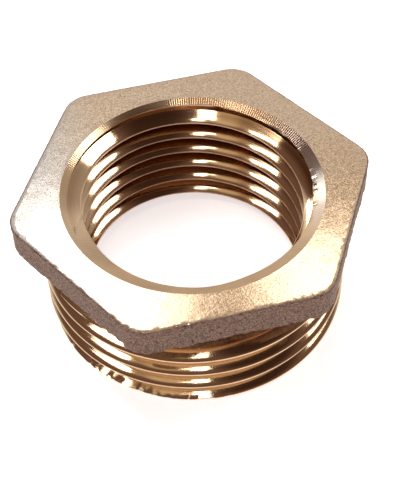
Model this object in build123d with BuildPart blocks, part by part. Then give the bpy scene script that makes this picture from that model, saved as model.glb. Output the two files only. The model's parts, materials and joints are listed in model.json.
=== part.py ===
"""Hexagon reducing bush for pipe threads, in one piece.

A hexagon head for the spanner sits on a short threaded barrel. The barrel screws into a
three-quarter inch fitting, and the bore is threaded for a half inch pipe. The outside thread
is cut here: a right-handed parallel pipe thread with 14 turns to the inch and 55 degree
flanks. The bore has the diameter of the crests of its own thread, as drilled for the tap.

The bush stands on the end of its barrel. The axis is Z, the end of the barrel is at Z = 0
and the head is on top, with one of its flats towards -Y. Lengths are in millimetres.
"""

import math
import os

from build123d import *
from build123d.topology import SkipClean

os.makedirs("parts", exist_ok=True)

# Head
across_flats = 27.2
head_height = 2.8
head_corner_radius = 2.6
head_edge_radius = 0.15

# Whole bush
overall_height = 12.0

# Thread on the barrel. Its crest passes -Y with its middle at crest_height.
turns_per_inch = 14
flank_angle = 55.0
depth_per_pitch = 0.6403
flat_per_pitch = 1 / 6
thread_diameter = 26.2
crest_height = 3.9
end_chamfer = 0.25

# Neck where the thread runs out below the head
neck_width = 2.12
neck_shoulder_angle = 30.0
neck_clearance = 0.1

# Bore and the countersinks at its two ends
bore_diameter = 18.65
countersink_angle = 120.0
top_countersink_diameter = 22.1
end_countersink_diameter = 21.5

# How far the groove cutter reaches past the crests that it leaves
cutter_overlap = 0.1

inch = 25.4
pitch = inch / turns_per_inch
thread_depth = depth_per_pitch * pitch
flat_width = flat_per_pitch * pitch
flank_lean = math.tan(math.radians(flank_angle / 2))

barrel_height = overall_height - head_height
crest_radius = thread_diameter / 2
root_radius = crest_radius - thread_depth
neck_radius = root_radius - neck_clearance
shoulder_rise = (crest_radius - neck_radius) * math.tan(math.radians(neck_shoulder_angle))

bore_radius = bore_diameter / 2
countersink_slope = 1 / math.tan(math.radians(countersink_angle / 2))
top_countersink_depth = (top_countersink_diameter / 2 - bore_radius) * countersink_slope
end_countersink_depth = (end_countersink_diameter / 2 - bore_radius) * countersink_slope

# The groove opens into the air at open_radius. It starts below the end of the barrel, winds
# up between two crests and ends inside the neck, just below the head.
open_radius = crest_radius + cutter_overlap
groove_half_width = flat_width / 2 + (open_radius - root_radius) * flank_lean
groove_top = barrel_height - groove_half_width - cutter_overlap
groove_height = crest_height + pitch / 2
angle_at_top = 360 * (groove_top - groove_height) / pitch - 90
turns = math.ceil((groove_top + groove_half_width) / pitch)
turn_bottoms = [groove_top - turn * pitch for turn in range(1, turns + 1)]

# One turn of the groove, rising from +X at Z = 0
with BuildPart() as groove_turn:
    with BuildLine() as groove_path:
        Helix(pitch=pitch, height=pitch, radius=root_radius)
    with BuildSketch(Plane.XZ):
        with BuildLine():
            Polyline(
                (open_radius, -groove_half_width),
                (root_radius, -flat_width / 2),
                (root_radius, flat_width / 2),
                (open_radius, groove_half_width),
                close=True,
            )
        make_face()
    sweep(path=groove_path.line, is_frenet=True)

with BuildPart() as bush:
    # Turned barrel: end chamfer, full diameter, shoulder and neck
    with BuildSketch(Plane.XZ):
        with BuildLine():
            Polyline(
                (0, 0),
                (crest_radius - end_chamfer, 0),
                (crest_radius, end_chamfer),
                (crest_radius, barrel_height - neck_width),
                (neck_radius, barrel_height - neck_width + shoulder_rise),
                (neck_radius, barrel_height),
                (0, barrel_height),
                close=True,
            )
        make_face()
    revolve(axis=Axis.Z)

    # Head: a hexagon with well rounded corners, its top rim barely broken
    with BuildSketch(Plane.XY.offset(barrel_height)) as hexagon:
        RegularPolygon(across_flats / 2, 6, major_radius=False)
        fillet(hexagon.vertices(), head_corner_radius)
    extrude(amount=head_height)
    fillet(bush.faces().sort_by(Axis.Z)[-1].edges(), head_edge_radius)

    # Thread groove, turn by turn. What it leaves of the barrel's full diameter is the crest.
    with Locations(*[Location((0, 0, bottom), (0, 0, angle_at_top)) for bottom in turn_bottoms]):
        add(groove_turn.part, mode=Mode.SUBTRACT)

    # Bore with a countersink at each end
    with BuildSketch(Plane.XZ):
        with BuildLine():
            Polyline(
                (0, 0),
                (end_countersink_diameter / 2, 0),
                (bore_radius, end_countersink_depth),
                (bore_radius, overall_height - top_countersink_depth),
                (top_countersink_diameter / 2, overall_height),
                (0, overall_height),
                close=True,
            )
        make_face()
    revolve(axis=Axis.Z, mode=Mode.SUBTRACT)

# The crest is one long strip that winds round the axis. Parting the bush at two planes through
# the axis and joining the quarters again turns it into short faces of a cylinder, one for
# each quarter turn, so that the thread can be measured across any opposite pair of them.
with SkipClean():
    halves = bush.part.split(Plane.XZ, keep=Keep.BOTH)
    quarters = [quarter for half in halves for quarter in half.split(Plane.YZ, keep=Keep.BOTH)]
    hex_bushing = quarters[0].fuse(*quarters[1:], glue=True)

hex_bushing.label = "hex_bushing"
export_step(hex_bushing, "parts/hex_bushing.step")

print(f"pitch {pitch:.3f}, thread depth {thread_depth:.3f}, {turns} groove turns")
print(f"volume {hex_bushing.volume:.1f}, before parting {bush.part.volume:.1f}")
print(f"{len(hex_bushing.faces())} faces, valid: {hex_bushing.is_valid}")
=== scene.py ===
# %% [markdown]
# # A hexagon reducing bush in brass
#
# The object is one piece of brass: a thin forged hexagon on a short threaded barrel, with a
# second thread in its bore. The solid from the drawing already has the head, the barrel, its
# outside thread and a plain bore. What it can't have is the look: rough forged sides, a
# blasted top, bright turned threads, and the inside thread. This script adds those.
#
# A forging with two threads can be dressed in three ways: with bump on the plain solid, with
# cutters and booleans, or with a new mesh that is laid out along the thread. Bump leaves the
# outline smooth, and booleans leave long thin faces that can't be roughened. So the bush is
# laid out anew as one closed grid of rows and columns, exactly where the solid stands. Two
# Geometry Nodes trees then cut the threads and roughen the skin.

import json
import math

import bmesh
import bpy
import numpy as np
from mathutils import Matrix, Vector


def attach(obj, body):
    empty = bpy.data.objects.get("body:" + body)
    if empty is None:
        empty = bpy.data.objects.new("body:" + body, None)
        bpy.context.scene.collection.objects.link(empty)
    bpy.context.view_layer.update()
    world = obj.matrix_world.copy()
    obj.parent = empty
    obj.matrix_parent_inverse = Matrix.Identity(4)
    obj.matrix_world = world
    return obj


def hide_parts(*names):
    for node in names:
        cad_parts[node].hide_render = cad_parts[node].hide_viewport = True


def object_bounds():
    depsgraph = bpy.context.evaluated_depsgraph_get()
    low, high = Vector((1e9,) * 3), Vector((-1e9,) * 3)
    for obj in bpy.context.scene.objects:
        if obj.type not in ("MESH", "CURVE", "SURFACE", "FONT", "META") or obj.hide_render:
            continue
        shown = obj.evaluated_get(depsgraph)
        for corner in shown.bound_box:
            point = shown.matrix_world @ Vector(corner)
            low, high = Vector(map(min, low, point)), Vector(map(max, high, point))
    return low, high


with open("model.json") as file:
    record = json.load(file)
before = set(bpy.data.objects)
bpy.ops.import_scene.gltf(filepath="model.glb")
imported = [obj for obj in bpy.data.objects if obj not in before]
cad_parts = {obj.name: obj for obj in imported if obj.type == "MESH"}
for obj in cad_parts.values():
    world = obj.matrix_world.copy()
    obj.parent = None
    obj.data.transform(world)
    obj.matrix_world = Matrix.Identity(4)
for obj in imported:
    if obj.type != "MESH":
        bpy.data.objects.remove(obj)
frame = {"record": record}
cad_low, cad_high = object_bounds()
print("the solid reaches from", tuple(cad_low), "to", tuple(cad_high))

# %% [markdown]
# ## The sizes
#
# Everything is in metres, with Z along the axis and the end of the barrel at Z = 0. The
# outline and both crest diameters come from the frame, so the new skin can't drift away from
# the solid. The thread form is the 55 degree pipe form with 14 turns to the inch. The
# photograph shows thin crests, so the roots are flat over more of the pitch than in the
# drawing.

# %% Sizes
MM = 0.001

mounts = {mount["name"]: mount for mount in frame["record"]["mounts"]}
overall_height = cad_high.z - cad_low.z
half_flats = (cad_high.y - cad_low.y) / 2
crest_radius = mounts["male_thread"]["dims"]["r_mm"] * MM
bore_radius = mounts["female_thread"]["dims"]["r_mm"] * MM

inch = 25.4 * MM
turns_per_inch = 14
depth_per_pitch = 0.6403
pitch = inch / turns_per_inch
thread_depth = depth_per_pitch * pitch
flank_angle = math.radians(55 / 2)
flank_lean = math.tan(flank_angle)
outside_root_share, inside_root_share = 0.22, 0.31
outside_crest_height, inside_crest_height = 3.90 * MM, 5.97 * MM
outside_groove_height = outside_crest_height + pitch / 2
inside_groove_height = inside_crest_height + pitch / 2

head_height = 2.8 * MM
barrel_height = overall_height - head_height
corner_radius = 2.6 * MM
rim_radius = 0.15 * MM
end_chamfer = 0.25 * MM
neck_width = 2.12 * MM
neck_clearance = 0.1 * MM
neck_radius = crest_radius - thread_depth - neck_clearance
shoulder_angle = math.radians(30)
shoulder_rise = (crest_radius - neck_radius) * math.tan(shoulder_angle)
top_sink_radius = 11.05 * MM
end_sink_radius = 10.75 * MM
sink_half_angle = math.radians(60)
sink_slope = 1 / math.tan(sink_half_angle)
top_sink_depth = (top_sink_radius - bore_radius) * sink_slope
end_sink_depth = (end_sink_radius - bore_radius) * sink_slope
print(f"crests {crest_radius / MM:.2f} and {bore_radius / MM:.2f} mm, pitch {pitch / MM:.3f} mm")

# %% [markdown]
# ## The camera
#
# The camera stands where the photograph was taken from: in front of the bush, a little to the
# left, looking down at about fifty degrees from ten centimetres away. Its place was worked
# out from the corners of the hexagon, the rims and the crests. It is turned about the point
# in the middle of the head, tilted by the small roll, and then slid sideways, because the bush
# isn't in the middle of the picture.

# %% Camera
view_azimuth = math.radians(-102.77)
view_elevation = math.radians(49.72)
view_roll = math.radians(-1.83)
view_distance = 101.2 * MM
slide_right = 0.634 * MM
slide_up = -4.253 * MM
focal_pixels = 1218.3
picture_height = 480
sensor_width = 36.0


def level_direction(azimuth, elevation):
    """The direction from the bush to something that stands at these angles, in radians."""
    flat = math.cos(elevation)
    return Vector((flat * math.cos(azimuth), flat * math.sin(azimuth), math.sin(elevation)))


def make_camera():
    back = level_direction(view_azimuth, view_elevation)
    right = Vector((-math.sin(view_azimuth), math.cos(view_azimuth), 0))
    up = back.cross(right)
    right, up = (
        math.cos(view_roll) * right + math.sin(view_roll) * up,
        math.cos(view_roll) * up - math.sin(view_roll) * right,
    )
    data = bpy.data.cameras.new("camera")
    data.sensor_width = sensor_width
    data.lens = focal_pixels * sensor_width / picture_height
    data.clip_start = 1 * MM
    camera = bpy.data.objects.new("camera", data)
    head_middle = Vector((0, 0, overall_height))
    place = head_middle + back * view_distance + right * slide_right + up * slide_up
    turn = Matrix((right, up, back)).transposed().to_4x4()
    camera.matrix_world = Matrix.Translation(place) @ turn
    bpy.context.scene.collection.objects.link(camera)
    bpy.context.scene.camera = camera
    return camera


camera = make_camera()
print("camera at", tuple(round(value / MM, 1) for value in camera.matrix_world.translation), "mm")

# %% [markdown]
# ## The blank: columns round the axis
#
# A lathe would turn the section of the bush round the axis. The hexagon isn't round, so its
# outline is a distance from the axis for each angle: straight flats joined by corner arcs.
# The columns start at -Y, the front, where the drawing gives the height of both threads.

# %% Columns and the hexagon
column_count = 480
turn_of_column = np.arange(column_count) / column_count
angle_of_column = turn_of_column * math.tau - math.pi / 2


def hexagon_radius(angles):
    """Distance from the axis to the rounded hexagon, whose flats face -Y and every 60 degrees."""
    sixth = math.pi / 3
    from_flat = (angles + math.pi / 2 + sixth / 2) % sixth - sixth / 2
    flat = half_flats / np.cos(from_flat)
    from_corner = sixth / 2 - np.abs(from_flat)
    arc_centre = (half_flats - corner_radius) / math.cos(sixth / 2)
    reach = corner_radius ** 2 - (arc_centre * np.sin(from_corner)) ** 2
    corner = arc_centre * np.cos(from_corner) + np.sqrt(np.maximum(reach, 0))
    arc_ends = math.atan(math.tan(sixth / 2) * (half_flats - corner_radius) / half_flats)
    return np.where(np.abs(from_flat) > arc_ends, corner, flat)


hexagon = hexagon_radius(angle_of_column)
print(f"hexagon from {hexagon.min() / MM:.2f} to {hexagon.max() / MM:.2f} mm from the axis")

# %% [markdown]
# ## The blank: rows that climb with the thread
#
# A groove that winds upwards crosses level rows at a slant, and its edges come out as steps.
# So the rows of both threads climb one pitch for each turn, as the tool did. Twelve rows to
# the pitch carry the thread form: two on the edges of the root, five on the flanks and five
# round the crest. A row that would leave the barrel or the bore stays at its end, and rows
# that meet there are one.
#
# The rest of the section is level rings. The loop goes once round the wall: up the barrel,
# out under the head, up the flats, over the rim, in across the top, down the bore and out
# across the end. Faces that are strung along such a loop all point outwards.

# %% Rows
lower_flank_rows = (0.21, 0.29, 0.37)
upper_flank_rows = (0.66, 0.77)


class ThreadForm:
    """The form of a thread whose root is flat for a share of the pitch.

    Its rows are shares of the pitch, counted upwards from the middle of the root.
    """

    def __init__(self, side, crest, groove_height, root_share):
        self.side = side
        self.crest = crest
        self.groove_height = groove_height
        self.flat = root_share * pitch
        crest_half = (pitch - self.flat) / 2 - thread_depth * flank_lean
        self.round = crest_half * math.cos(flank_angle) / (1 - math.sin(flank_angle))
        self.reach = self.round * math.cos(flank_angle)
        root, bend = root_share / 2, self.reach / pitch
        crest_rows = (0.5 - bend, 0.5 - bend / 2, 0.5, 0.5 + bend / 2, 0.5 + bend)
        self.rows = np.array([root, *lower_flank_rows, *crest_rows, *upper_flank_rows, 1 - root])


outside_form = ThreadForm(1.0, crest_radius, outside_groove_height, outside_root_share)
inside_form = ThreadForm(-1.0, bore_radius, inside_groove_height, inside_root_share)


class Blank:
    """Collects the points and faces of the closed wall, strip by strip."""

    def __init__(self):
        self.points = []
        self.faces = []
        self.zone_of_face = []

    def ring(self, radii, height):
        """One level ring. It closes on its own first column."""
        first = len(self.points)
        for radius, angle in zip(np.broadcast_to(radii, column_count), angle_of_column):
            self.points.append((radius * math.cos(angle), radius * math.sin(angle), height))
        return [first + column % column_count for column in range(column_count + 1)]

    def climbing_rows(self, form, low, high, radius_at):
        """Rows that climb with the thread from low to high, lowest first."""
        first_turn = math.floor((low - form.groove_height) / pitch) - 2
        last_turn = math.ceil((high - form.groove_height) / pitch) + 1
        rows = np.concatenate([turn + form.rows for turn in range(first_turn, last_turn)])
        climb = turn_of_column[None, :] + rows[:, None]
        heights = np.clip(form.groove_height + pitch * climb, low, high)
        table = np.zeros((len(rows), column_count + 1), dtype=int)
        for column, angle in enumerate(angle_of_column):
            for row in range(len(rows)):
                height = heights[row, column]
                if row == 0 or height > heights[row - 1, column]:
                    radius = radius_at(height)
                    self.points.append((radius * math.cos(angle), radius * math.sin(angle), height))
                table[row, column] = len(self.points) - 1
        # After a whole turn each row has become the row one pitch further up.
        above = np.minimum(np.arange(len(rows)) + len(form.rows), len(rows) - 1)
        table[:, column_count] = table[above, 0]
        return [list(row) for row in table]

    def strip(self, zone, rows):
        """Faces between neighbouring rows. Corners that coincide are left out."""
        for lower, upper in zip(rows, rows[1:]):
            for column in range(column_count):
                corners = (lower[column], lower[column + 1], upper[column + 1], upper[column])
                face = list(dict.fromkeys(corners))
                if len(face) > 2:
                    self.faces.append(face)
                    self.zone_of_face.append(zone)


barrel_section = (
    (0, end_chamfer, barrel_height - neck_width, barrel_height - neck_width + shoulder_rise),
    (crest_radius - end_chamfer, crest_radius, crest_radius, neck_radius),
)
bore_section = (
    (0, end_sink_depth, overall_height - top_sink_depth, overall_height),
    (end_sink_radius, bore_radius, bore_radius, top_sink_radius),
)
zones = ("barrel", "seat", "side", "rim", "top", "bore", "end")
seat_rings, side_rings, rim_rings, top_rings, end_rings = 8, 14, 3, 12, 4


def between(start, stop, count):
    """Even steps on the way from start to stop, without the start."""
    return [start + (stop - start) * step / count for step in range(1, count + 1)]


def make_blank():
    blank = Blank()
    barrel = blank.climbing_rows(
        outside_form, 0, barrel_height, lambda z: np.interp(z, *barrel_section)
    )
    bore = blank.climbing_rows(
        inside_form, 0, overall_height, lambda z: np.interp(z, *bore_section)
    )[::-1]
    seat = [barrel[-1]]
    for share in between(0, 1, seat_rings):
        seat.append(blank.ring(neck_radius + (hexagon - neck_radius) * share, barrel_height))
    side = [seat[-1]]
    for height in between(barrel_height, overall_height - rim_radius, side_rings):
        side.append(blank.ring(hexagon, height))
    rim = [side[-1]]
    for bend in between(0, math.pi / 2, rim_rings):
        step_in = rim_radius * (1 - math.cos(bend))
        rise = rim_radius * math.sin(bend)
        rim.append(blank.ring(hexagon - step_in, overall_height - rim_radius + rise))
    top = [rim[-1]]
    for share in between(0, 1, top_rings)[:-1]:
        inwards = hexagon - rim_radius + (top_sink_radius - hexagon + rim_radius) * share
        top.append(blank.ring(inwards, overall_height))
    top.append(bore[0])
    end = [bore[-1]]
    root_radius = crest_radius - thread_depth
    for radius in between(end_sink_radius, root_radius, end_rings)[:-1]:
        end.append(blank.ring(radius, 0))
    end.append(barrel[0])
    for zone, rows in zip(zones, (barrel, seat, side, rim, top, bore, end)):
        blank.strip(zones.index(zone), rows)
    return blank


blank = make_blank()
print(f"blank: {len(blank.points)} points, {len(blank.faces)} faces")

# %% [markdown]
# ## The blank becomes a mesh
#
# Some turned edges lie level, and the climbing rows cross them at a slant: the chamfer, the two
# ends of the shoulder, the inner ends of the countersinks and the rings on them where the root
# of the thread comes out. The mesh is cut along them, so that each is one clean ring. Each
# point then gets a number for each zone that it borders on, which the trees read.

# %% Mesh
inside_root = bore_radius + thread_depth
level_edges = {
    "barrel": barrel_section[0][1:],
    "bore": (
        *bore_section[0][1:3],
        (end_sink_radius - inside_root) * sink_slope,
        overall_height - (top_sink_radius - inside_root) * sink_slope,
    ),
}
cut_tolerance = 1e-7


def cut_level(bm, zone, height):
    """Cuts the faces of one zone along a level plane."""
    faces = [face for face in bm.faces if face.material_index == zones.index(zone)]
    edges = {edge for face in faces for edge in face.edges}
    points = {point for face in faces for point in face.verts}
    bmesh.ops.bisect_plane(
        bm,
        geom=[*points, *edges, *faces],
        dist=cut_tolerance,
        plane_co=(0, 0, height),
        plane_no=(0, 0, 1),
    )


def mesh_of(blank):
    mesh = bpy.data.meshes.new("hex_bushing")
    mesh.from_pydata(blank.points, [], blank.faces)
    mesh.polygons.foreach_set("material_index", blank.zone_of_face)
    bm = bmesh.new()
    bm.from_mesh(mesh)
    for zone, heights in level_edges.items():
        for height in heights:
            cut_level(bm, zone, height)
    bmesh.ops.triangulate(bm, faces=[face for face in bm.faces if len(face.verts) > 4])
    bm.to_mesh(mesh)
    bm.free()
    return mesh


def mark_zones(mesh):
    """Writes one number per point and zone: 1 where the point borders on the zone."""
    corner_points = np.zeros(len(mesh.loops), dtype=int)
    mesh.loops.foreach_get("vertex_index", corner_points)
    sizes = np.zeros(len(mesh.polygons), dtype=int)
    mesh.polygons.foreach_get("loop_total", sizes)
    indices = np.zeros(len(mesh.polygons), dtype=int)
    mesh.polygons.foreach_get("material_index", indices)
    corner_zones = np.repeat(indices, sizes)
    for number, zone in enumerate(zones):
        values = np.zeros(len(mesh.vertices))
        values[corner_points[corner_zones == number]] = 1
        mesh.attributes.new(zone, "FLOAT", "POINT").data.foreach_set("value", values)


bushing_mesh = mesh_of(blank)
mark_zones(bushing_mesh)
bushing = bpy.data.objects.new("hex_bushing_skin", bushing_mesh)
bpy.context.scene.collection.objects.link(bushing)
print(f"mesh: {len(bushing_mesh.polygons)} faces")

# %% [markdown]
# ## Helpers for node trees
#
# Geometry and shader trees are both written as text here. The first helper adds a node, sets
# its options and fills or wires its inputs. The second adds a Math node and hands back its
# result. The others are short names for nodes that are needed more than once.

# %% Node helpers
FLOAT, VECTOR, GEOMETRY = "NodeSocketFloat", "NodeSocketVector", "NodeSocketGeometry"
TEXT, MATERIAL = "NodeSocketString", "NodeSocketMaterial"


def add_node(tree, kind, inputs=(), **options):
    """Adds a node. inputs maps names or numbers to values or to the sockets that feed them."""
    node = tree.nodes.new(kind)
    for name, value in options.items():
        setattr(node, name, value)
    for key, value in dict(inputs).items():
        if isinstance(value, bpy.types.NodeSocket):
            tree.links.new(value, node.inputs[key])
        else:
            node.inputs[key].default_value = value
    return node


def calc(tree, operation, *values):
    """A Math node on numbers or sockets."""
    return add_node(tree, "ShaderNodeMath", enumerate(values), operation=operation).outputs[0]


def squared(tree, value):
    return calc(tree, "MULTIPLY", value, value)


def from_axis(tree, x, y):
    """The distance from the axis."""
    return calc(tree, "SQRT", calc(tree, "ADD", squared(tree, x), squared(tree, y)))


def scaled(tree, vector, amount):
    """A vector times a number."""
    inputs = {0: vector, "Scale": amount}
    return add_node(tree, "ShaderNodeVectorMath", inputs, operation="SCALE").outputs[0]


def ramp(tree, value, start, stop, low=0.0, high=1.0, **options):
    """Goes from low to high while the value goes from start to stop."""
    inputs = {0: value, 1: start, 2: stop, 3: low, 4: high}
    return add_node(tree, "ShaderNodeMapRange", inputs, **options).outputs[0]


def noise(tree, place, scale, detail, roughness=0.5):
    """A noise whose grains are one over scale across."""
    inputs = {"Vector": place, "Scale": scale, "Detail": detail, "Roughness": roughness}
    return add_node(tree, "ShaderNodeTexNoise", inputs).outputs[0]


def is_above(tree, value, limit):
    inputs = {0: value, 1: limit}
    return add_node(tree, "FunctionNodeCompare", inputs, operation="GREATER_THAN").outputs[0]


def zone_mask(tree, zone):
    """1 at the points that border on a zone, and 0 at the others."""
    return add_node(tree, "GeometryNodeInputNamedAttribute", {"Name": zone}).outputs[0]


def new_tree(name, kind, inputs, outputs):
    """A node tree with named sockets. Each is a name and a kind, and inputs may have a value."""
    tree = bpy.data.node_groups.new(name, kind)
    for direction, sockets in (("INPUT", inputs), ("OUTPUT", outputs)):
        for socket_name, socket_kind, *value in sockets:
            socket = tree.interface.new_socket(
                socket_name, in_out=direction, socket_type=socket_kind
            )
            if value:
                socket.default_value = value[0]
    return tree, tree.nodes.new("NodeGroupInput"), tree.nodes.new("NodeGroupOutput")


print("node helpers ready")

# %% [markdown]
# ## Cutting the threads
#
# A thread is a rule: how deep the groove is at a point depends only on its height and its
# angle. Swept cutters and booleans would give the same form with a worse mesh. A Geometry
# Nodes tree works the rule out for each point. It measures how far the point lies from the
# middle of the groove, turns that into the distance from the axis at which the flank would
# be, and moves the point there if that lies deeper than the surface. The edges of the crest
# are worn round, so near its middle the rule follows an arc that runs into both flanks.
#
# One tree cuts both threads. With Side = 1 the groove is cut inwards from the outside, and with
# Side = -1 every radius changes its sign, which cuts it outwards from the bore.

# %% The thread tree


def make_thread_tree():
    tree, given, result = new_tree(
        "cut thread groove",
        "GeometryNodeTree",
        [
            ("Geometry", GEOMETRY),
            ("Zone", TEXT, "barrel"),
            ("Side", FLOAT, 1.0),
            ("Root radius", FLOAT, 0.012),
            ("Crest radius", FLOAT, 0.013),
            ("Crest round", FLOAT, 0.0002),
            ("Round reach", FLOAT, 0.0002),
            ("Pitch", FLOAT, 0.0018),
            ("Groove height", FLOAT, 0.0),
            ("Flat width", FLOAT, 0.0003),
            ("Flank lean", FLOAT, 0.52),
            ("Material", MATERIAL),
        ],
        [("Geometry", GEOMETRY)],
    )
    size = given.outputs
    place = add_node(tree, "GeometryNodeInputPosition").outputs[0]
    x, y, z = add_node(tree, "ShaderNodeSeparateXYZ", {0: place}).outputs
    radius = from_axis(tree, x, y)

    # Turns are counted from -Y, a quarter of a turn before +X.
    quarter_turn = 0.25
    turn = calc(tree, "DIVIDE", calc(tree, "ARCTAN2", y, x), math.tau)
    climb = calc(tree, "ADD", turn, quarter_turn)
    above_groove = calc(tree, "SUBTRACT", z, size["Groove height"])
    turns_up = calc(tree, "DIVIDE", above_groove, size["Pitch"])
    from_groove = calc(tree, "SUBTRACT", turns_up, climb)
    across = calc(tree, "FRACT", calc(tree, "ADD", from_groove, 0.5))
    from_middle = calc(tree, "ABSOLUTE", calc(tree, "SUBTRACT", across, 0.5))
    half_flat = calc(tree, "DIVIDE", size["Flat width"], 2.0)
    aside = calc(tree, "MULTIPLY", from_middle, size["Pitch"])
    past_flat = calc(tree, "MAXIMUM", calc(tree, "SUBTRACT", aside, half_flat), 0.0)
    rise = calc(tree, "DIVIDE", past_flat, size["Flank lean"])

    # The arc of the worn crest drops away on both sides of the crest's middle.
    from_crest = calc(tree, "MULTIPLY", calc(tree, "SUBTRACT", 0.5, from_middle), size["Pitch"])
    reach = calc(tree, "MINIMUM", from_crest, size["Round reach"])
    round_squared = squared(tree, size["Crest round"])
    arc = calc(tree, "SQRT", calc(tree, "SUBTRACT", round_squared, squared(tree, reach)))
    drop = calc(tree, "SUBTRACT", size["Crest round"], arc)

    # The point goes to the lowest of surface, flank and crest.
    flank = calc(tree, "ADD", calc(tree, "MULTIPLY", size["Side"], size["Root radius"]), rise)
    full_crest = calc(tree, "MULTIPLY", size["Side"], size["Crest radius"])
    crest = calc(tree, "SUBTRACT", full_crest, drop)
    surface = calc(tree, "MULTIPLY", size["Side"], radius)
    lowest = calc(tree, "MINIMUM", calc(tree, "MINIMUM", surface, flank), crest)
    deeper = calc(tree, "MULTIPLY", size["Side"], lowest)
    ratio = calc(tree, "DIVIDE", deeper, radius)
    stretch = add_node(tree, "ShaderNodeCombineXYZ", {0: ratio, 1: ratio, 2: 1.0}).outputs[0]
    moved = add_node(tree, "ShaderNodeVectorMath", {0: place, 1: stretch}, operation="MULTIPLY")

    chosen = is_above(tree, zone_mask(tree, size["Zone"]), 0.5)
    cut = add_node(
        tree,
        "GeometryNodeSetPosition",
        {"Geometry": size["Geometry"], "Selection": chosen, "Position": moved.outputs[0]},
    )
    whole = add_node(tree, "GeometryNodeRealizeInstances", {0: cut.outputs[0]})
    finish_zone(tree, whole.outputs[0], size["Zone"], size["Material"], result)
    return tree


def finish_zone(tree, geometry, zone, material, result):
    """Ends a tree: the faces whose points all border on the zone get the material."""
    mask = zone_mask(tree, zone)
    share = add_node(tree, "GeometryNodeFieldOnDomain", {0: mask}, domain="FACE").outputs[0]
    nearly_all = 0.999
    chosen = is_above(tree, share, nearly_all)
    dressed = add_node(
        tree,
        "GeometryNodeSetMaterial",
        {"Geometry": geometry, "Selection": chosen, "Material": material},
    )
    tree.links.new(dressed.outputs[0], result.inputs[0])


thread_tree = make_thread_tree()
print(f"thread tree: {len(thread_tree.nodes)} nodes")

# %% [markdown]
# ## Roughening the skin
#
# The head was forged in a die, trimmed and shot with grit, so its sides are grainy and its
# rims nicked. The ends of both threads are chipped where the tool broke through. A bump map
# would leave the outline straight, so the points themselves are moved. A sculptor would do it
# by hand, but the same rule serves everywhere: take a noise, keep what is above a threshold,
# and push the point inwards by it. The push never goes outwards, because the skin has to stay
# inside the size of the solid.
#
# One tree with named inputs does this. It is used once for each kind of roughness, and a window
# of heights and of angles keeps it to the place where the real bush has it. The points of a
# spared zone stay where they are: the blasted top is uneven, but the turned rim of the
# countersink in it has to stay round.

# %% The roughening tree


def make_rough_tree():
    tree, given, result = new_tree(
        "roughen zone",
        "GeometryNodeTree",
        [
            ("Geometry", GEOMETRY),
            ("Zone", TEXT, "side"),
            ("Grain size", FLOAT, 0.001),
            ("Depth", FLOAT, 0.0001),
            ("Threshold", FLOAT, 0.0),
            ("Lowest", FLOAT, -1.0),
            ("Highest", FLOAT, 1.0),
            ("Middle angle", FLOAT, 0.0),
            ("Half angle", FLOAT, 4.0),
            ("Spared zone", TEXT, ""),
            ("Seed", FLOAT, 0.0),
            ("Material", MATERIAL),
        ],
        [("Geometry", GEOMETRY)],
    )
    size = given.outputs
    place = add_node(tree, "GeometryNodeInputPosition").outputs[0]
    x, y, z = add_node(tree, "ShaderNodeSeparateXYZ", {0: place}).outputs
    grain = add_node(
        tree,
        "ShaderNodeTexNoise",
        {
            "Vector": place,
            "W": size["Seed"],
            "Scale": calc(tree, "DIVIDE", 1.0, size["Grain size"]),
            "Detail": 2.0,
            "Roughness": 0.6,
        },
        noise_dimensions="4D",
    ).outputs[0]
    above = calc(tree, "MAXIMUM", calc(tree, "SUBTRACT", grain, size["Threshold"]), 0.0)
    share = calc(tree, "DIVIDE", above, calc(tree, "SUBTRACT", 1.0, size["Threshold"]))
    push = calc(tree, "MULTIPLY", share, size["Depth"])

    # The windows fade over a tenth of a millimetre of height and a fifth of a radian.
    fade_height, fade_angle = 0.1 * MM, 0.2
    over = calc(tree, "DIVIDE", calc(tree, "SUBTRACT", z, size["Lowest"]), fade_height)
    under = calc(tree, "DIVIDE", calc(tree, "SUBTRACT", size["Highest"], z), fade_height)
    turned = calc(tree, "SUBTRACT", calc(tree, "ARCTAN2", y, x), size["Middle angle"])
    aside = calc(tree, "ABSOLUTE", calc(tree, "WRAP", turned, math.pi, -math.pi))
    within = calc(tree, "DIVIDE", calc(tree, "SUBTRACT", size["Half angle"], aside), fade_angle)
    window = calc(tree, "MINIMUM", calc(tree, "MINIMUM", over, under), within)
    window = calc(tree, "MINIMUM", calc(tree, "MAXIMUM", window, 0.0), 1.0)

    # -1 in the zone, so that the push goes against the normal, and 0 where the point is spared.
    mask = zone_mask(tree, size["Zone"])
    spared = zone_mask(tree, size["Spared zone"])
    chosen = calc(tree, "MULTIPLY", mask, calc(tree, "SUBTRACT", spared, 1.0))
    inwards = calc(tree, "MULTIPLY", calc(tree, "MULTIPLY", push, window), chosen)
    normal = add_node(tree, "GeometryNodeInputNormal").outputs[0]
    pushed = add_node(
        tree,
        "GeometryNodeSetPosition",
        {"Geometry": size["Geometry"], "Offset": scaled(tree, normal, inwards)},
    )
    whole = add_node(tree, "GeometryNodeRealizeInstances", {0: pushed.outputs[0]})
    finish_zone(tree, whole.outputs[0], size["Zone"], size["Material"], result)
    return tree


rough_tree = make_rough_tree()
print(f"roughening tree: {len(rough_tree.nodes)} nodes")

# %% [markdown]
# ## Effects that the finishes share
#
# All finishes are the same brass, and differ in how it was worked. Two shader groups make the
# effects. One gives specks of grit and dirt with a fine grain, and the other gives turning
# marks that follow the tool, ticks across them and slow stains. The groups put out values, and
# each material decides what they colour.

# %% Shader groups


def object_place(tree):
    """The point's place in object coordinates, which are the coordinates of the bush."""
    return add_node(tree, "ShaderNodeTexCoord").outputs["Object"]


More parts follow.
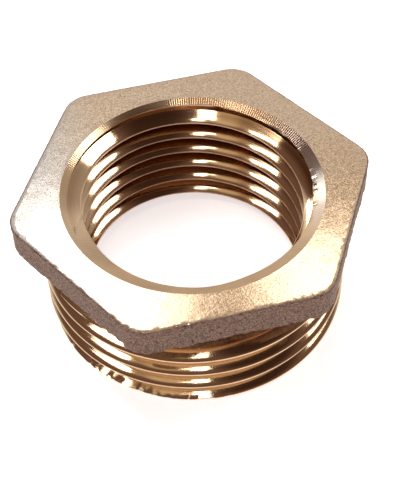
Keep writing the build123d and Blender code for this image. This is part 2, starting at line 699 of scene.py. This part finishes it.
def make_speck_group():
    """Specks of a given size. Specks is 1 inside a speck, and Grain is a fine even noise."""
    tree, given, result = new_tree(
        "specks",
        "ShaderNodeTree",
        [
            ("Place", VECTOR),
            ("Speck size", FLOAT, 0.0004),
            ("Speck share", FLOAT, 0.1),
            ("Grain size", FLOAT, 0.0002),
        ],
        [("Specks", FLOAT), ("Grain", FLOAT)],
    )
    size = given.outputs
    speck_scale = calc(tree, "DIVIDE", 1.0, size["Speck size"])
    spots = noise(tree, size["Place"], speck_scale, detail=1.0, roughness=0.4)
    # The noise lies between about 0.25 and 0.75, so the share sets a level within that.
    level_of_none, level_per_share, soft_edge = 0.72, 0.4, 0.05
    below = calc(tree, "MULTIPLY", size["Speck share"], level_per_share)
    level = calc(tree, "SUBTRACT", level_of_none, below)
    specks = calc(tree, "DIVIDE", calc(tree, "SUBTRACT", spots, level), soft_edge)
    grain_scale = calc(tree, "DIVIDE", 1.0, size["Grain size"])
    grain = noise(tree, size["Place"], grain_scale, detail=2.0, roughness=0.7)
    clipped = add_node(tree, "ShaderNodeClamp", {0: specks}).outputs[0]
    tree.links.new(clipped, result.inputs["Specks"])
    tree.links.new(grain, result.inputs["Grain"])
    return tree


def make_turning_group():
    """Lines that run round the axis, as a turning tool leaves them, and ticks across them."""
    tree, given, result = new_tree(
        "turning marks",
        "ShaderNodeTree",
        [("Place", VECTOR), ("Line width", FLOAT, 0.00015), ("Ticks per turn", FLOAT, 300.0)],
        [("Lines", FLOAT), ("Ticks", FLOAT), ("Slow change", FLOAT)],
    )
    size = given.outputs
    x, y, z = add_node(tree, "ShaderNodeSeparateXYZ", {0: size["Place"]}).outputs
    radius = from_axis(tree, x, y)
    angle = calc(tree, "ARCTAN2", y, x)
    # The lines climb with the thread, so they follow the flanks and not level rings.
    climb = calc(tree, "MULTIPLY", angle, pitch / math.tau)
    along = calc(tree, "SUBTRACT", z, climb)
    shrink = calc(tree, "DIVIDE", 1.0, size["Line width"])
    change_round = 1.5
    across = add_node(
        tree,
        "ShaderNodeCombineXYZ",
        {
            0: calc(tree, "MULTIPLY", radius, shrink),
            1: calc(tree, "MULTIPLY", along, shrink),
            2: calc(tree, "MULTIPLY", calc(tree, "SINE", angle), change_round),
        },
    ).outputs[0]
    lines = noise(tree, across, scale=1.0, detail=2.0)
    swing = calc(tree, "MULTIPLY", angle, size["Ticks per turn"])
    ticks = calc(tree, "ADD", calc(tree, "MULTIPLY", calc(tree, "SINE", swing), 0.5), 0.5)
    stains_per_metre = 350.0
    slow = noise(tree, size["Place"], stains_per_metre, detail=2.0)
    tree.links.new(lines, result.inputs["Lines"])
    tree.links.new(ticks, result.inputs["Ticks"])
    tree.links.new(slow, result.inputs["Slow change"])
    return tree


speck_group = make_speck_group()
turning_group = make_turning_group()
print("shader groups:", speck_group.name, "and", turning_group.name)

# %% [markdown]
# ## The finishes
#
# Where the brass was turned it is bright and mirrors the lamps in long streaks across the tool
# marks, so that finish is metal with some anisotropy. Its roots are darkened with painted shade,
# the crests in the bore carry a painted copper reflection, and the cone of the countersink has
# chatter marks and a painted silver sheen towards +X. The top was shot with grit, so it is
# grainy, and has a painted silver sheen towards -X. The sides and the rim keep their brown
# forging skin.
#
# The photograph has the highlights in the bore deeper down the flanks than a true flank shows
# them. A steeper flank in the mesh would be a wrong thread, so the lean is only a bump of the
# material.

# %% Materials


def start_material(name, **sockets):
    """A material with a Principled shader. Numbers that are the same all over are set on it."""
    material = bpy.data.materials.new(name)
    material.use_nodes = True
    tree = material.node_tree
    shader = tree.nodes["Principled BSDF"]
    for socket, value in sockets.items():
        shader.inputs[socket.replace("_", " ").title()].default_value = value
    return material, tree, shader


def use_group(tree, group, inputs):
    return add_node(tree, "ShaderNodeGroup", inputs, node_tree=group).outputs


def blend(tree, share, first, second):
    """Mixes two colours."""
    inputs = {0: share, 6: first, 7: second}
    return add_node(tree, "ShaderNodeMix", inputs, data_type="RGBA").outputs[2]


def contrast(tree, value, low=0.38, high=0.62):
    """Stretches a noise, whose values crowd round the middle, over the whole way from 0 to 1."""
    return ramp(tree, value, low, high)


def bump(tree, height, distance):
    inputs = {"Height": height, "Distance": distance, "Strength": 1.0}
    return add_node(tree, "ShaderNodeBump", inputs).outputs[0]


def product(tree, first, *others):
    """Several values multiplied."""
    for other in others:
        first = calc(tree, "MULTIPLY", first, other)
    return first


def boosted(tree, share, factor):
    """A share made larger, but never larger than 1."""
    return calc(tree, "MINIMUM", calc(tree, "MULTIPLY", share, factor), 1.0)


bright_brass = (0.78, 0.60, 0.39, 1)
warm_brass = (0.66, 0.45, 0.27, 1)
# Painted shade for the roots, and also the colour of the chatter marks.
shade_and_chatter_brown = (0.26, 0.12, 0.06, 1)
# Painted reflection on the crests in the bore.
crest_reflection_copper = (0.80, 0.52, 0.36, 1)
# Painted silver sheen, on the cone towards +X and on the top towards -X.
painted_silver_sheen = (0.66, 0.60, 0.53, 1)
pale_brass = (0.80, 0.62, 0.44, 1)
tan_brass = (0.66, 0.47, 0.30, 1)
skin_brown = (0.10, 0.055, 0.038, 1)
skin_light = (0.37, 0.235, 0.17, 1)
pit_dark = (0.05, 0.03, 0.022, 1)


def near(tree, value, middle, reach):
    """1 where a value equals the middle, falling to 0 at the given reach."""
    off = calc(tree, "ABSOLUTE", calc(tree, "SUBTRACT", value, middle))
    share = calc(tree, "SUBTRACT", 1.0, calc(tree, "DIVIDE", off, reach))
    return calc(tree, "MAXIMUM", share, 0.0)


def turned_brass():
    material, tree, shader = start_material(
        "turned_brass", metallic=1.0, anisotropic=0.5, anisotropic_rotation=0.25
    )
    place = object_place(tree)
    line_width, tick_count = 0.12 * MM, 330
    marks = use_group(
        tree,
        turning_group,
        {"Place": place, "Line width": line_width, "Ticks per turn": tick_count},
    )
    x, y, z = add_node(tree, "ShaderNodeSeparateXYZ", {0: place}).outputs
    radius = from_axis(tree, x, y)

    # On the cone of the countersink the radius follows from the height.
    cone_reach, cone_boost = 0.08 * MM, 3.0
    below_top = calc(tree, "SUBTRACT", overall_height, z)
    sunk = calc(tree, "DIVIDE", below_top, sink_slope)
    cone_radius = calc(tree, "SUBTRACT", top_sink_radius, sunk)
    from_cone = calc(tree, "SUBTRACT", radius, cone_radius)
    on_cone = boosted(tree, near(tree, from_cone, 0.0, cone_reach), cone_boost)
    off_cone = calc(tree, "SUBTRACT", 1.0, on_cone)

    # Painted shade darkens the roots, where the grooves lie in shade, but not the groove that comes
    # out through the cone. Outside, the root is nearer to the axis than the crest, and less of it
    # is dark.
    outside_share = 0.85
    shade_from, shade_full = 0.30 * thread_depth, 0.75 * thread_depth
    last_turn_from, last_turn_to, last_turn_share = 1.0 * MM, 1.5 * MM, 0.3
    inwards = calc(tree, "SUBTRACT", crest_radius, radius)
    outside_depth = calc(tree, "MULTIPLY", inwards, outside_share)
    inside_depth = calc(tree, "SUBTRACT", radius, bore_radius)
    depth = calc(tree, "MINIMUM", outside_depth, inside_depth)
    below_last_turn = ramp(tree, below_top, last_turn_from, last_turn_to, low=last_turn_share)
    root = product(tree, ramp(tree, depth, shade_from, shade_full), off_cone, below_last_turn)

    # The crests in the bore get thin copper red lines of painted reflection.
    crest_reach, crest_boost = 0.08 * MM, 1.5
    crest = product(tree, near(tree, inside_depth, 0.0, crest_reach), off_cone)
    crest = boosted(tree, crest, crest_boost)

    # The cutter chattered, most of all on the far right of the cone.
    worst_angle, worst_reach, worst_boost = math.radians(48), math.radians(52), 1.5
    patch_low, patch_high, patch_share = 0.35, 0.60, 0.5
    far_right = near(tree, calc(tree, "ARCTAN2", y, x), worst_angle, worst_reach)
    patches = contrast(tree, marks["Slow change"], patch_low, patch_high)
    patchy = calc(tree, "MULTIPLY", patches, patch_share)
    strength = calc(tree, "ADD", patchy, calc(tree, "MULTIPLY", far_right, worst_boost))
    strength = calc(tree, "MINIMUM", strength, 1.0)
    chatter = product(tree, on_cone, strength, marks["Ticks"])

    # Painted sheen: the cone turns silver towards +X.
    sheen_from, sheen_full = 8 * MM, 10.4 * MM
    silver_sheen = product(tree, ramp(tree, x, sheen_from, sheen_full), on_cone)
    chatter_colour_share = 0.9
    colour = blend(tree, marks["Slow change"], warm_brass, bright_brass)
    # Painted shade in the roots.
    colour = blend(tree, root, colour, shade_and_chatter_brown)
    # Painted reflection on the crests.
    colour = blend(tree, crest, colour, crest_reflection_copper)
    colour = blend(tree, silver_sheen, colour, painted_silver_sheen)
    colour = blend(tree, product(tree, chatter, chatter_colour_share), colour, shade_and_chatter_brown)
    tree.links.new(colour, shader.inputs["Base Color"])

    # The cone is duller in front than at the back, and the crests are duller than the flanks.
    front_from, front_full = 0.0, -6 * MM
    cone_rough = ramp(tree, y, front_from, front_full, low=0.12, high=0.40)
    crest_rough = calc(tree, "MULTIPLY", crest, 0.4)
    rough = calc(tree, "MAXIMUM", calc(tree, "MULTIPLY", on_cone, cone_rough), crest_rough)
    line_rough = ramp(tree, marks["Lines"], 0.0, 1.0, low=0.06, high=0.14)
    tree.links.new(calc(tree, "ADD", rough, line_rough), shader.inputs["Roughness"])

    # Heights are in metres here, so the bump's distance is 1. The lean of the flanks is the
    # groove's depth times the slope.
    mark_height, chatter_height = 0.003 * MM, 3.0
    lean_slope = math.tan(math.radians(4))
    lean = product(tree, calc(tree, "MINIMUM", inside_depth, thread_depth), lean_slope, off_cone)
    marked = calc(tree, "ADD", calc(tree, "MULTIPLY", chatter, chatter_height), marks["Lines"])
    height = calc(tree, "ADD", calc(tree, "MULTIPLY", marked, mark_height), lean)
    tree.links.new(bump(tree, height, 1.0), shader.inputs["Normal"])
    return material


def blasted_brass():
    material, tree, shader = start_material("blasted_brass", metallic=1.0)
    place = object_place(tree)
    dirt = use_group(
        tree,
        speck_group,
        {"Place": place, "Speck size": 0.2 * MM, "Speck share": 0.15, "Grain size": 0.17 * MM},
    )
    # Painted sheen: the top turns paler and silvery towards -X.
    sheen_from, sheen_full = -6 * MM, -12 * MM
    speck_strength, grain_height = 0.5, 0.003 * MM
    x = add_node(tree, "ShaderNodeSeparateXYZ", {0: place}).outputs["X"]
    silver_sheen = ramp(tree, x, sheen_from, sheen_full)
    metal = blend(tree, contrast(tree, dirt["Grain"]), tan_brass, pale_brass)
    metal = blend(tree, silver_sheen, metal, painted_silver_sheen)
    specks = calc(tree, "MULTIPLY", dirt["Specks"], speck_strength)
    tree.links.new(blend(tree, specks, metal, pit_dark), shader.inputs["Base Color"])
    rough = ramp(tree, dirt["Grain"], 0.0, 1.0, low=0.06, high=0.20)
    tree.links.new(rough, shader.inputs["Roughness"])
    tree.links.new(bump(tree, dirt["Grain"], grain_height), shader.inputs["Normal"])
    return material


def forged_brass():
    material, tree, shader = start_material("forged_brass", metallic=0.5)
    place = object_place(tree)
    dirt = use_group(
        tree,
        speck_group,
        {"Place": place, "Speck size": 0.22 * MM, "Speck share": 0.2, "Grain size": 0.15 * MM},
    )
    speck_strength, grain_height = 0.7, 0.05 * MM
    metal = blend(tree, contrast(tree, dirt["Grain"]), skin_brown, skin_light)
    specks = calc(tree, "MULTIPLY", dirt["Specks"], speck_strength)
    tree.links.new(blend(tree, specks, metal, pit_dark), shader.inputs["Base Color"])
    rough = ramp(tree, dirt["Grain"], 0.0, 1.0, low=0.5, high=0.75)
    tree.links.new(rough, shader.inputs["Roughness"])
    tree.links.new(bump(tree, dirt["Grain"], grain_height), shader.inputs["Normal"])
    return material


turned, blasted, forged = turned_brass(), blasted_brass(), forged_brass()
print("finishes:", turned.name, blasted.name, forged.name)

# %% [markdown]
# ## The trees at work
#
# Each use of a tree is a modifier with its own inputs. The inputs are set by the identifiers of
# their sockets, before the object is evaluated for the first time. Then the evaluated object
# is turned into a plain mesh, and the modifiers go.

# %% Threads and roughness


def use_tree(thing, name, tree, values):
    """Adds a tree as a modifier and sets its inputs by their identifiers."""
    modifier = thing.modifiers.new(name, "NODES")
    modifier.node_group = tree
    for socket in tree.interface.items_tree:
        if socket.in_out == "INPUT" and socket.name in values:
            modifier[socket.identifier] = values[socket.name]


def thread(zone, form):
    values = {
        "Zone": zone,
        "Side": form.side,
        "Root radius": form.crest - form.side * thread_depth,
        "Crest radius": form.crest,
        "Crest round": form.round,
        "Round reach": form.reach,
        "Pitch": pitch,
        "Groove height": form.groove_height,
        "Flat width": form.flat,
        "Flank lean": flank_lean,
        "Material": turned,
    }
    use_tree(bushing, f"thread on the {zone}", thread_tree, values)


def roughen(zone, grain_size, depth, material, seed, threshold=0.0, **window):
    """Roughens a zone. window holds the limits of height and angle, and the spared zone."""
    values = {
        "Zone": zone,
        "Grain size": grain_size,
        "Depth": depth,
        "Threshold": threshold,
        "Seed": seed,
        "Material": material,
    }
    values.update({name.replace("_", " ").capitalize(): value for name, value in window.items()})
    use_tree(bushing, f"rough {zone} {seed}", rough_tree, values)


first_slot = np.zeros(len(bushing_mesh.polygons), dtype=int)
bushing_mesh.polygons.foreach_set("material_index", first_slot)
bushing_mesh.materials.append(turned)
thread("barrel", outside_form)
thread("bore", inside_form)
roughen("seat", 1.2 * MM, 0.08 * MM, forged, 1.0)
roughen("side", 1.4 * MM, 0.12 * MM, forged, 2.0, threshold=0.3)
roughen("side", 0.45 * MM, 0.12 * MM, forged, 3.0, threshold=0.3)
roughen("side", 0.5 * MM, 0.5 * MM, forged, 4.0, threshold=0.5, highest=barrel_height + 0.3 * MM)
roughen("rim", 0.4 * MM, 0.10 * MM, forged, 5.0, threshold=0.5)
roughen("top", 3.5 * MM, 0.018 * MM, blasted, 6.0, threshold=0.3, spared_zone="bore")
roughen(
    "bore", 0.45 * MM, 0.35 * MM, turned, 7.0, threshold=0.5,
    lowest=overall_height - 1.1 * MM, highest=overall_height - 0.35 * MM,
    middle_angle=math.radians(-4), half_angle=math.radians(28),
)
roughen(
    "barrel", 0.8 * MM, 0.5 * MM, turned, 8.0, threshold=0.5, highest=0.35 * MM,
    middle_angle=math.radians(-125), half_angle=math.radians(40),
)


def bake_trees(thing):
    """Replaces the object's mesh by what its modifiers make of it, and removes them."""
    graph = bpy.context.evaluated_depsgraph_get()
    made = bpy.data.meshes.new_from_object(thing.evaluated_get(graph), depsgraph=graph)
    thing.modifiers.clear()
    thing.data = made
    return made


merge_distance, shortest_edge = 0.002 * MM, 0.001 * MM
crease_angle = math.radians(24)


def tidy_mesh(mesh):
    """Merges points that the grooves brought together, and keeps creases sharp."""
    bm = bmesh.new()
    bm.from_mesh(mesh)
    bmesh.ops.remove_doubles(bm, verts=bm.verts, dist=merge_distance)
    bmesh.ops.dissolve_degenerate(bm, edges=bm.edges, dist=shortest_edge)
    bmesh.ops.recalc_face_normals(bm, faces=bm.faces)
    open_edges = sum(1 for edge in bm.edges if len(edge.link_faces) != 2)
    volume = bm.calc_volume(signed=True)
    bm.to_mesh(mesh)
    bm.free()
    mesh.shade_smooth()
    mesh.set_sharp_from_angle(angle=crease_angle)
    triangles = sum(len(face.vertices) - 2 for face in mesh.polygons)
    print(f"{triangles} triangles, {open_edges} open edges, volume {volume / MM ** 3:.1f} mm3")


tidy_mesh(bake_trees(bushing))
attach(bushing, "root")
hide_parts("hex_bushing")
print("materials on the piece:", [material.name for material in bushing.data.materials])

# %% [markdown]
# ## Floor and light
#
# Bright metal shows little but its surroundings, so the light is made of soft boxes that stand
# where the photograph's highlights point. A lamp's place is found by mirroring the line of
# sight in the flank where the highlight lies. What lies between the lamps is a brown backdrop
# with soft patches, which tints the parts of the bore that mirror no lamp. The floor is white
# for the camera and in reflections, and its own shade is left to the lamps, so the shadow
# stays.

# %% Stage
floor_reach, floor_gap, floor_glow = 0.6, 0.01 * MM, 0.65
floor_white, glow_white = (0.88, 0.87, 0.87, 1), (1.0, 0.98, 1.0, 1)


def make_floor():
    mesh = bpy.data.meshes.new("floor")
    signs = ((-1, -1), (1, -1), (1, 1), (-1, 1))
    corners = [(x * floor_reach, y * floor_reach, 0) for x, y in signs]
    mesh.from_pydata(corners, [], [(0, 1, 2, 3)])
    floor = bpy.data.objects.new("floor", mesh)
    floor.location.z = cad_low.z - floor_gap
    bpy.context.scene.collection.objects.link(floor)
    material, tree, shader = start_material(
        "floor_white", base_color=floor_white, roughness=0.9, emission_color=glow_white
    )
    shader.inputs["Specular IOR Level"].default_value = 0.1
    rays = add_node(tree, "ShaderNodeLightPath").outputs
    seen = calc(tree, "MAXIMUM", rays["Is Camera Ray"], rays["Is Glossy Ray"])
    seen = calc(tree, "MAXIMUM", seen, rays["Is Transmission Ray"])
    glow = calc(tree, "MULTIPLY", seen, floor_glow)
    tree.links.new(glow, shader.inputs["Emission Strength"])
    mesh.materials.append(material)


lamp_distance = 2.0


def softbox(name, azimuth, elevation, wide, high, radiance, turn=0.0):
    """An area lamp seen from the bush in a given direction. All angles are in degrees.

    It is so many degrees wide and high, and turn turns it about the line to the bush.
    """
    data = bpy.data.lights.new(name, "AREA")
    data.shape = "RECTANGLE"
    data.size = 2 * lamp_distance * math.tan(math.radians(wide / 2))
    data.size_y = 2 * lamp_distance * math.tan(math.radians(high / 2))
    data.energy = radiance * math.pi * data.size * data.size_y
    lamp = bpy.data.objects.new(name, data)
    back = level_direction(math.radians(azimuth), math.radians(elevation))
    side = Vector((0, 0, 1)).cross(back).normalized()
    facing = Matrix((side, back.cross(side), back)).transposed().to_4x4()
    place = Vector((0, 0, overall_height / 2)) + back * lamp_distance
    turned_box = Matrix.Rotation(math.radians(turn), 4, "Z")
    lamp.matrix_world = Matrix.Translation(place) @ facing @ turned_box
    bpy.context.scene.collection.objects.link(lamp)


def lobe(tree, direction, azimuth, elevation, inner, outer):
    """1 within inner degrees of a direction, falling to 0 at outer degrees."""
    middle = level_direction(math.radians(azimuth), math.radians(elevation))
    aligned = add_node(
        tree, "ShaderNodeVectorMath", {0: direction, 1: middle}, operation="DOT_PRODUCT"
    ).outputs["Value"]
    edge, full = math.cos(math.radians(outer)), math.cos(math.radians(inner))
    return ramp(tree, aligned, edge, full, interpolation_type="SMOOTHSTEP")


backdrop_brown = (0.17, 0.10, 0.075, 1)
horizon_white = (0.85, 0.84, 0.84, 1)
picture_white = (1, 1, 1, 1)
# Each patch has its azimuth, elevation, inner and outer reach in degrees, and its colour.
backdrop_patches = {
    "dark front right": ((-50, 62, 8, 24), (0.05, 0.026, 0.018, 1)),
    "brass front left": ((-145, 68, 4, 13), (0.75, 0.60, 0.42, 1)),
    "tan left": ((178, 60, 5, 14), (0.50, 0.38, 0.26, 1)),
    "grey right": ((28, 34, 8, 20), (0.45, 0.40, 0.37, 1)),
    "white back": ((78, 30, 24, 38), (0.72, 0.71, 0.72, 1)),
    "brown back": ((75, 53.5, 1.5, 5.5), (0.40, 0.30, 0.20, 1)),
    "tan back right": ((66, 48.5, 1.5, 4), (0.48, 0.38, 0.27, 1)),
}


def make_world():
    """The backdrop: brown with patches above, white near the horizon and for the camera."""
    world = bpy.data.worlds.new("studio")
    world.use_nodes = True
    bpy.context.scene.world = world
    tree = world.node_tree
    backdrop = tree.nodes["Background"]
    rays = add_node(tree, "ShaderNodeLightPath").outputs
    direction = add_node(tree, "ShaderNodeTexCoord").outputs["Generated"]
    z = add_node(tree, "ShaderNodeSeparateXYZ", {0: direction}).outputs["Z"]
    colour = backdrop_brown
    for place, shade in backdrop_patches.values():
        colour = blend(tree, lobe(tree, direction, *place), colour, shade)
    white_from, white_full = 0.42, 0.25
    colour = blend(tree, ramp(tree, z, white_from, white_full), colour, horizon_white)
    colour = blend(tree, rays["Is Camera Ray"], colour, picture_white)
    tree.links.new(colour, backdrop.inputs["Color"])
    backdrop.inputs["Strength"].default_value = 1.0


make_floor()
make_world()
# Each lamp has its azimuth, elevation, width, height and radiance.
softbox("lamp_front_bore", -121, 72.6, 7.5, 6, 11.0)
softbox("lamp_front_barrel", -107, 67.4, 6, 4, 11.0)
softbox("lamp_right", 4.4, 45.5, 21, 9, 9.0, turn=-41)
softbox("lamp_left", 175, 54.5, 17.5, 6, 10.0, turn=19)
softbox("lamp_back_left", 86, 52, 9, 8, 3.2)
softbox("lamp_back_right", 67.5, 52, 5.5, 3.6, 4.2)
softbox("lamp_low_back", 115, 21, 14, 10, 8.0)
softbox("lamp_key", 105, 80, 14, 14, 12.0)
bpy.context.scene.view_settings.view_transform = "Standard"
print("lamps:", len(bpy.data.lights))
